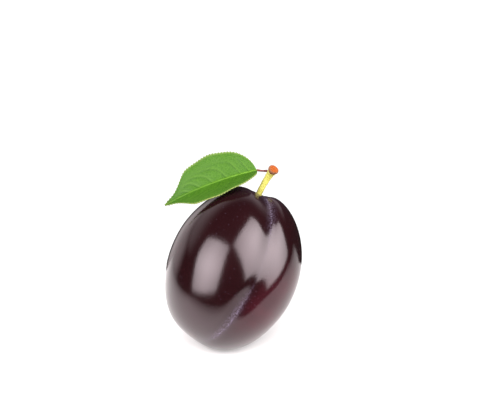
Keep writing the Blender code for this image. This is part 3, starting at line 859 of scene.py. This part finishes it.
class PLUM_OT_leaf(bpy.types.Operator):
    """Builds the serrated leaf with its midrib and side veins"""

    bl_idname = "plum.leaf"
    bl_label = "Leaf"

    def execute(self, context):
        """The upper face bulges between sunk side veins and carries a low midrib. The lower face has the
        midrib and the veins raised. A tooth rises to its peak over three quarters of its length and drops
        back steeply, and the margin's rows are even along its arc, so that the teeth are alike."""
        settings = context.scene.plum_leaf
        steps = 8
        rows = np.arange(settings.teeth * steps + 1)
        share = rows / rows[-1]
        fine = np.linspace(0.0, 1.0, 4001)
        arc_steps = np.hypot(np.diff(fine) * settings.length, np.diff(leaf_half_width(settings, fine)))
        arc = np.concatenate(([0.0], np.cumsum(arc_steps)))
        at_margin = np.interp(share * arc[-1], arc, fine)
        phase = (rows % steps) / steps
        tooth = np.where(phase < 0.75, (phase / 0.7) ** 1.4, (1.0 - phase) / 0.3)
        tooth = tooth * smoothstep(0.0, 0.03, share) * smoothstep(1.0, 0.97, share)

        near = np.linspace(0.0, 1.0, 9)[:-1] * 0.2
        wide = np.linspace(0.2, 0.94, 15)
        rim = np.array((0.965, 0.985, 1.0))
        out = np.concatenate((near, wide, rim))
        columns = np.concatenate((-out[:0:-1], out))
        reach = np.abs(columns)
        u = share[:, None] + reach * (at_margin - share)[:, None]
        far_share = np.where(columns < 0.0, 1.05, 1.0)
        b = columns * far_share * leaf_half_width(settings, at_margin)[:, None]
        b = b + np.sign(columns) * settings.tooth_depth * tooth[:, None] * smoothstep(0.9, 1.0, reach)

        middle = leaf_surface(settings, u, b)
        normal = leaf_normal(settings, u, b)
        # pale and dark are painted light and painted shade along the side veins; dark also sinks the surface
        # there
        pale, dark, bulge = side_veins(settings, u, b)
        rib_width = 0.32 * MM * (1.0 - 0.4 * u)
        half_thickness = 0.5 * settings.thickness * (1.0 - 0.4 * smoothstep(0.85, 1.0, reach))
        rise = 0.1 * MM * bulge - 0.05 * MM * dark
        above = half_thickness + rise + 0.08 * MM * bell(b, rib_width)
        below = half_thickness - rise + 0.08 * MM * dark
        below = below + 0.38 * MM * (1.0 - 0.6 * u) * bell(b, 0.63 * MM * (1.0 - 0.45 * u))
        upper = middle + above[..., None] * normal
        lower = middle - below[..., None] * normal

        along = np.array((-math.cos(LEAF_DROOP), 0.0, -math.sin(LEAF_DROOP)))
        lifted = np.array((-math.sin(LEAF_DROOP), 0.0, math.cos(LEAF_DROOP)))
        facing = math.sin(LEAF_FACING) * lifted + math.cos(LEAF_FACING) * np.array((0.0, -1.0, 0.0))
        axes = np.stack((along, np.cross(facing, along), facing))
        upper = from_tipped(upper @ axes + LEAF_BASE)
        lower = from_tipped(lower @ axes + LEAF_BASE)
        mesh = sheet_surface("leaf_blade", upper, lower)

        place = np.stack((u * settings.length, b, np.zeros_like(b)), axis=-1).reshape(-1, 3)
        point_values(mesh, "blade_place", np.tile(place, (2, 1)))
        from_vein = np.abs(np.subtract.outer(share, FAR_VEINS)).min(axis=1)[:, None]
        junctions = 0.75 + 0.25 * bell(from_vein, 0.02)
        rib = 0.9 * bell(b, rib_width) * (1.0 - 0.65 * u) * junctions
        edge = np.where(columns < 0.0, 0.4, 0.9) * smoothstep(0.93, 0.98, reach)
        edge = np.broadcast_to(edge, u.shape)
        point_values(mesh, "edge", np.concatenate((edge.ravel(), 0.2 * edge.ravel())))
        # Painted light: lighter green is painted on the far half, which faces the light, and on the bulges
        # between the veins, less towards the tip
        far_half = smoothstep(0.5 * MM, -0.5 * MM, b)
        painted_light_share = (0.1 + 0.55 * far_half + 0.35 * bulge) * (1.0 - 0.9 * smoothstep(0.6, 0.95, u))
        yellow = smoothstep(0.9, 1.0, u)
        # The vein lines are painted light and painted shade, and the lighter share is painted light on the
        # far half and the bulges
        both_faces = {"midrib": rib, "painted_vein_light": pale, "painted_vein_shade": dark, "painted_light_share": painted_light_share, "yellow": yellow}
        for name, values in both_faces.items():
            point_values(mesh, name, np.tile(values.ravel(), 2))
        add_piece("leaf_blade", mesh, leaf_material(settings), "leaf")
        return {"FINISHED"}


def shade_soft_box(light):
    """Makes a soft box's face brightest in its middle, dimmer outwards and fading at its edges."""
    light.use_nodes = True
    tree = light.node_tree
    tree.nodes.clear()
    place = add_node(tree, "ShaderNodeNewGeometry").outputs["Parametric"]
    axes = add_node(tree, "ShaderNodeSeparateXYZ", {"Vector": place})
    level = 1.0
    for axis in ("X", "Y"):
        inwards = calculate(tree, "PINGPONG", axes.outputs[axis], 0.5)
        for width, outer in ((0.1, 0.0), (0.5, 0.65)):
            level = calculate(tree, "MULTIPLY", level, ease(tree, inwards, 0.0, width, outer))
    face = add_node(tree, "ShaderNodeEmission", {"Strength": level})
    add_node(tree, "ShaderNodeOutputLight", {"Surface": face.outputs[0]})


def add_soft_box(name, azimuth, elevation, right, up, width, height, turn, brightness):
    """A flat rectangular light that faces back along a direction from the plum, 1.5 m away.

    Azimuth 0 is towards the front, -Y, and 90 towards the right, +X. The rectangle lies in the plane square
    to that direction, with its middle, width and height given in shares of the distance and its turn in
    degrees. A face of brightness L and area A gives L A pi watts.
    """
    distance = 1.5
    facing = Matrix.Rotation(math.radians(azimuth), 3, "Z")
    facing = facing @ Matrix.Rotation(math.radians(90.0 - elevation), 3, "X")
    light = bpy.data.lights.new(name, "AREA")
    light.shape = "RECTANGLE"
    light.size = width * distance
    light.size_y = height * distance
    light.energy = brightness * math.pi * light.size * light.size_y
    shade_soft_box(light)
    box = link_object(name, light)
    middle = Vector(FRUIT_CENTRE) + distance * (facing @ Vector((right, up, 1.0)))
    turned = facing @ Matrix.Rotation(math.radians(turn), 3, "Z")
    box.matrix_world = Matrix.Translation(middle) @ turned.to_4x4()
    return box


def add_fill(name, brightness):
    """A wide soft light straight above the plum that lifts the shadows and leaves no reflection."""
    fill = add_soft_box(name, 0.0, 90.0, 0.0, 0.0, 1.0, 1.0, 0.0, brightness)
    fill.visible_glossy = False


# What hangs in the dark studio, seen from the plum: its brightness, the direction that it hangs in, how
# squarely a direction faces it where it begins and where it is full, and the same for the direction's height
WALL = (1.4, (-0.707, 0.707, 0.0), (0.8, 0.97), ((0.5, 0.15),))
SCREEN = (0.85, (-0.3, 0.95, 0.0), (0.15, 0.6), ((0.22, 0.42), (0.85, 0.5)))
DIM = 0.03

# The picture's scale and width in pixels, and how far from its middle the fruit's centre lies, left and down
PIXELS_PER_METRE = 2.8 / MM
PICTURE_WIDTH = 500.0
CENTRE_LEFT = 17.8
CENTRE_DOWN = 68.9
SENSOR_WIDTH = 36.0

# Corners of the white sheet, in metres, from its front left one
SHEET_CORNERS = (
    (-0.2, -0.15), (0.26, -0.085), (0.6, -0.09), (0.6, 0.32), (0.075, 0.05), (-0.05, 0.055), (-0.2, 0.17),
)


def floor_material(settings):
    """White acrylic sheet: smooth and matt, and it takes the light evenly.

    To the eye it is white under the plum and behind it, as far as the camera sees. Painted shade makes it
    greyer in front, far out at both sides and a little to the right, standing in for the light falling off
    there, so that the white that the plum's lower half reflects fades out.
    """
    material, tree = new_material("white_acrylic_sweep")
    place = add_node(tree, "ShaderNodeTexCoord").outputs["Object"]
    axes = add_node(tree, "ShaderNodeSeparateXYZ", {"Vector": place})
    across, back = axes.outputs["X"], axes.outputs["Y"]
    # Painted shade: grey where the light falls off, in front, far out at both sides and a little to the right
    in_front = ease(tree, back, -0.03, -0.12, 0.0, 0.85)
    aside = calculate(tree, "ABSOLUTE", calculate(tree, "SUBTRACT", across, 0.03))
    painted_falloff_shade = calculate(tree, "MAXIMUM", in_front, ease(tree, aside, 0.09, 0.26, 0.0, 0.8))
    painted_falloff_shade = calculate(tree, "MAXIMUM", painted_falloff_shade, ease(tree, across, -0.02, 0.03, 0.0, 0.5))
    mottle = noise(tree, place, 3.0, 2.0)
    cover(tree, {
        "Base Color": mix_colours(tree, painted_falloff_shade, settings.floor, settings.painted_shade_floor),
        "Roughness": remap(tree, mottle, 0.0, 1.0, 0.55, 0.65),
        "Specular IOR Level": 0.2,
    })
    return material


class PLUM_OT_stage(bpy.types.Operator):
    """Builds the white floor, the soft light and the camera"""

    bl_idname = "plum.stage"
    bl_label = "Stage"

    def execute(self, context):
        settings = context.scene.plum_stage
        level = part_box("fruit")[0].z
        corners = [(x, y, level) for x, y in SHEET_CORNERS]
        mesh = bpy.data.meshes.new("studio_floor")
        mesh.from_pydata(corners, [], [tuple(range(len(corners)))])
        mesh.materials.append(floor_material(settings))
        floor = link_object("studio_floor", mesh)

        light = settings.light
        add_soft_box("soft_box_left", -48.0, 31.0, 0.083, -0.03, 1.0, 1.24, 6.1, light)
        add_soft_box("soft_box_right", 60.0, 28.0, -0.036, 0.298, 1.32, 1.58, 9.2, light)
        add_fill("soft_fill_above", 0.35 * light)
        self.light_world(context)
        self.place_camera(context, settings)
        return {"FINISHED"}

    def light_world(self, context):
        """A dark studio with a white wall low down and a screen higher up. The camera sees plain white.

        The brightness in a direction is a product of smooth rises: of how squarely it faces the wall or the
        screen, and of its height, which is 0 if it is level and 1 straight up.
        """
        world = bpy.data.worlds.new("studio")
        context.scene.world = world
        world.use_nodes = True
        tree = world.node_tree
        tree.nodes.clear()
        place = add_node(tree, "ShaderNodeTexCoord").outputs["Generated"]
        height = add_node(tree, "ShaderNodeSeparateXYZ", {"Vector": place}).outputs["Z"]
        levels = []
        for brightness, middle, facing_rise, height_rises in (WALL, SCREEN):
            facing = add_node(tree, "ShaderNodeVectorMath", {0: place, 1: middle}, operation="DOT_PRODUCT")
            level = calculate(tree, "MULTIPLY", ease(tree, facing.outputs["Value"], *facing_rise), brightness)
            for rise in height_rises:
                level = calculate(tree, "MULTIPLY", level, ease(tree, height, *rise))
            levels.append(level)
        level = calculate(tree, "ADD", calculate(tree, "MAXIMUM", *levels), DIM)
        studio = add_node(tree, "ShaderNodeBackground", {"Color": (1.0, 0.91, 0.92, 1.0), "Strength": level})
        white = add_node(tree, "ShaderNodeBackground", {"Color": (1.0, 1.0, 1.0, 1.0), "Strength": 1.2})
        seen = add_node(tree, "ShaderNodeLightPath").outputs["Is Camera Ray"]
        mixed = add_node(tree, "ShaderNodeMixShader", {0: seen, 1: studio.outputs[0], 2: white.outputs[0]})
        add_node(tree, "ShaderNodeOutputWorld", {"Surface": mixed.outputs[0]})

    def place_camera(self, context, settings):
        """A long lens looking down 30 degrees, aimed up and to the right of the fruit's centre."""
        right = Vector((1.0, 0.0, 0.0))
        up = Vector((0.0, math.sin(TIP_BACK), math.cos(TIP_BACK)))
        near = Vector((0.0, -math.cos(TIP_BACK), math.sin(TIP_BACK)))
        centre = Vector(FRUIT_CENTRE)
        place = centre + settings.camera_distance * near
        aim = centre + (right * CENTRE_LEFT + up * CENTRE_DOWN) / PIXELS_PER_METRE
        data = bpy.data.cameras.new("studio_camera")
        data.sensor_width = SENSOR_WIDTH
        data.lens = SENSOR_WIDTH * PIXELS_PER_METRE * settings.camera_distance / PICTURE_WIDTH
        camera = link_object("studio_camera", data)
        camera.location = place
        camera.rotation_euler = (aim - place).to_track_quat("-Z", "Y").to_euler()
        context.scene.camera = camera
        context.scene.view_settings.view_transform = "Standard"


class PLUM_PT_panel(bpy.types.Panel):
    """Lists the pieces of the plum and the stage."""

    bl_idname = "PLUM_PT_panel"
    bl_label = "Plum with leaf"
    bl_space_type = "VIEW_3D"
    bl_region_type = "UI"
    bl_category = "Plum"

    def draw(self, context):
        scene = context.scene
        for name, _, operator in GROUPS:
            box = self.layout.box()
            settings = getattr(scene, name)
            for entry in settings.__annotations__:
                box.prop(settings, entry)
            box.operator(operator.bl_idname)


GROUPS = (
    ("plum_fruit", FruitSettings, PLUM_OT_fruit),
    ("plum_stalk", StalkSettings, PLUM_OT_stalk),
    ("plum_cut_end", CutEndSettings, PLUM_OT_cut_end),
    ("plum_leaf_stalk", LeafStalkSettings, PLUM_OT_leaf_stalk),
    ("plum_leaf", LeafSettings, PLUM_OT_leaf),
    ("plum_stage", StageSettings, PLUM_OT_stage),
)


def register():
    for name, settings, operator in GROUPS:
        bpy.utils.register_class(settings)
        setattr(bpy.types.Scene, name, bpy.props.PointerProperty(type=settings))
        bpy.utils.register_class(operator)
    bpy.utils.register_class(PLUM_PT_panel)


def unregister():
    bpy.utils.unregister_class(PLUM_PT_panel)
    for name, settings, operator in reversed(GROUPS):
        bpy.utils.unregister_class(operator)
        delattr(bpy.types.Scene, name)
        bpy.utils.unregister_class(settings)


def main():
    register()
    bpy.ops.plum.fruit()
    bpy.ops.plum.stalk()
    bpy.ops.plum.cut_end()
    bpy.ops.plum.leaf_stalk()
    bpy.ops.plum.leaf()
    bpy.ops.plum.stage()


if __name__ == "__main__":
    main()
